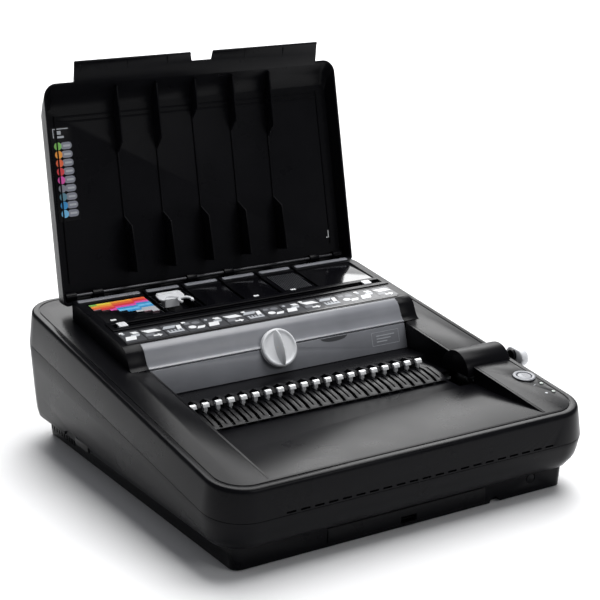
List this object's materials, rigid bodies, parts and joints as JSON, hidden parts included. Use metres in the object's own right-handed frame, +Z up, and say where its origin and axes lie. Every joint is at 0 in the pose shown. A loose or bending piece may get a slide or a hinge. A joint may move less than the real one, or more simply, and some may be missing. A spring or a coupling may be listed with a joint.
{
  "type": "comb binding machine",
  "caption": "Electric comb binding machine with an open ribbed lid, punch throat, sloping paper tray, comb hooks, edge guide knob and comb opening lever.",
  "frame": {"origin": "centre of the footprint's bounding box, on the surface that the feet stand on", "axes": "+X to the right of a person who stands in front, +Y to the back, +Z up"},
  "size_m": [0.4478, 0.471, 0.4178],
  "materials": {
    "shell": "satin, fine texture",
    "grey_panel": "satin",
    "gloss_black": "gloss",
    "white_plastic": "satin",
    "hooks": "bright plated",
    "steel": "plated",
    "brass": "machined",
    "rubber": "matt",
    "label": "printed film",
    "chart": "printed film in several colours",
    "lens": "translucent",
    "board": "solder mask"
  },
  "bodies": {
    "machine": {"base_tub": "shell", "foot_front_left": "rubber", "foot_front_right": "rubber", "foot_rear_left": "rubber", "foot_rear_right": "rubber", "base_screw_front_left": "steel", "base_screw_front_right": "steel", "base_screw_rear_left": "steel", "base_screw_rear_right": "steel", "lower_casing": "shell", "upper_casing": "shell", "paper_tray": "shell", "comb_plate": "shell", "lever_boss": "shell", "punch_housing": "shell", "front_panel": "grey_panel", "lower_panel": "grey_panel", "throat_frame": "shell", "label_strip": "label", "rear_panel": "gloss_black", "size_chart": "chart", "gauge_well": "gloss_black", "hinge_rail": "shell", "hinge_pin": "steel", "punch_die": "steel", "motor": "steel", "motor_bracket": "steel", "side_plate_left": "steel", "side_plate_right": "steel", "chassis_plate": "steel", "power_inlet": "gloss_black", "switch_frame": "gloss_black", "button_ring": "grey_panel", "indicator_front": "lens", "indicator_rear": "lens", "control_board": "board", "power_board": "board"},
    "lid": {"lid_shell": "shell", "lid_label": "label"},
    "knob": {"edge_knob": "white_plastic", "knob_pinion": "brass"},
    "left_guide": {"edge_guide_left": "white_plastic"},
    "right_guide": {"edge_guide_right": "white_plastic"},
    "gauge": {"comb_gauge": "white_plastic"},
    "lever": {"comb_lever": "shell", "lever_grip": "white_plastic", "lever_shaft": "steel", "lever_pinion": "steel"},
    "hooks": {"hook_bar": "hooks", "hook_rack": "steel"},
    "drawer": {"chip_drawer": "shell"},
    "button": {"punch_button": "grey_panel"},
    "rocker": {"power_rocker": "gloss_black"},
    "camshaft": {"main_shaft": "steel", "main_gear": "brass"},
    "pinion": {"motor_pinion": "brass"},
    "punch": {"punch_bar": "steel"}
  },
  "joints": [
    {"name": "lid_hinge", "type": "hinge", "parent": "machine", "child": "lid", "pos_m": [-0.0079, 0.1855, 0.1642], "axis": [1, 0, 0], "range_deg": [0, 106.6]},
    {"name": "knob_turn", "type": "hinge", "parent": "machine", "child": "knob", "pos_m": [-0.0149, 0.0213, 0.1202], "axis": [0, 0.891, -0.454], "range_deg": [0, 208]},
    {"name": "left_guide_slide", "type": "slide", "parent": "machine", "child": "left_guide", "axis": [1, 0, 0], "range_m": [0, 0.0431]},
    {"name": "right_guide_slide", "type": "slide", "parent": "machine", "child": "right_guide", "axis": [-1, 0, 0], "range_m": [0, 0.0436]},
    {"name": "gauge_slide", "type": "slide", "parent": "machine", "child": "gauge", "axis": [0, -0.9901, -0.1405], "range_m": [0, 0.012]},
    {"name": "lever_turn", "type": "hinge", "parent": "machine", "child": "lever", "pos_m": [0.2, -0.0765, 0.0798], "axis": [1, 0, 0], "range_deg": [0, 86]},
    {"name": "hooks_slide", "type": "slide", "parent": "machine", "child": "hooks", "axis": [0, -1, 0], "range_m": [0, 0.0237]},
    {"name": "drawer_slide", "type": "slide", "parent": "machine", "child": "drawer", "axis": [0, -1, 0], "range_m": [0, 0.2]},
    {"name": "button_press", "type": "slide", "parent": "machine", "child": "button", "axis": [0, 0.1405, -0.9901], "range_m": [0, 0.0015], "stiffness_N_per_m": 400},
    {"name": "rocker_tilt", "type": "hinge", "parent": "machine", "child": "rocker", "pos_m": [-0.1119, 0.2302, 0.062], "axis": [0, 0, 1], "range_deg": [-8, 0]},
    {"name": "camshaft_turn", "type": "hinge", "parent": "machine", "child": "camshaft", "pos_m": [0, 0.1455, 0.098], "axis": [1, 0, 0], "range_deg": [0, 184]},
    {"name": "pinion_turn", "type": "hinge", "parent": "machine", "child": "pinion", "pos_m": [0.146, 0.1735, 0.0687], "axis": [1, 0, 0], "range_deg": [-736, 0]},
    {"name": "punch_slide", "type": "slide", "parent": "machine", "child": "punch", "axis": [0, -1, 0], "range_m": [0, 0.008]}
  ],
  "couplings": [
    {"joint": "right_guide_slide", "follows": "left_guide_slide", "ratio": 1},
    {"joint": "knob_turn", "follows": "left_guide_slide", "rad_per_m": 83.333},
    {"joint": "lever_turn", "follows": "hooks_slide", "rad_per_m": 62.5},
    {"joint": "camshaft_turn", "follows": "punch_slide", "rad_per_m": 392.7},
    {"joint": "pinion_turn", "follows": "punch_slide", "rad_per_m": -1570.8}
  ]
}
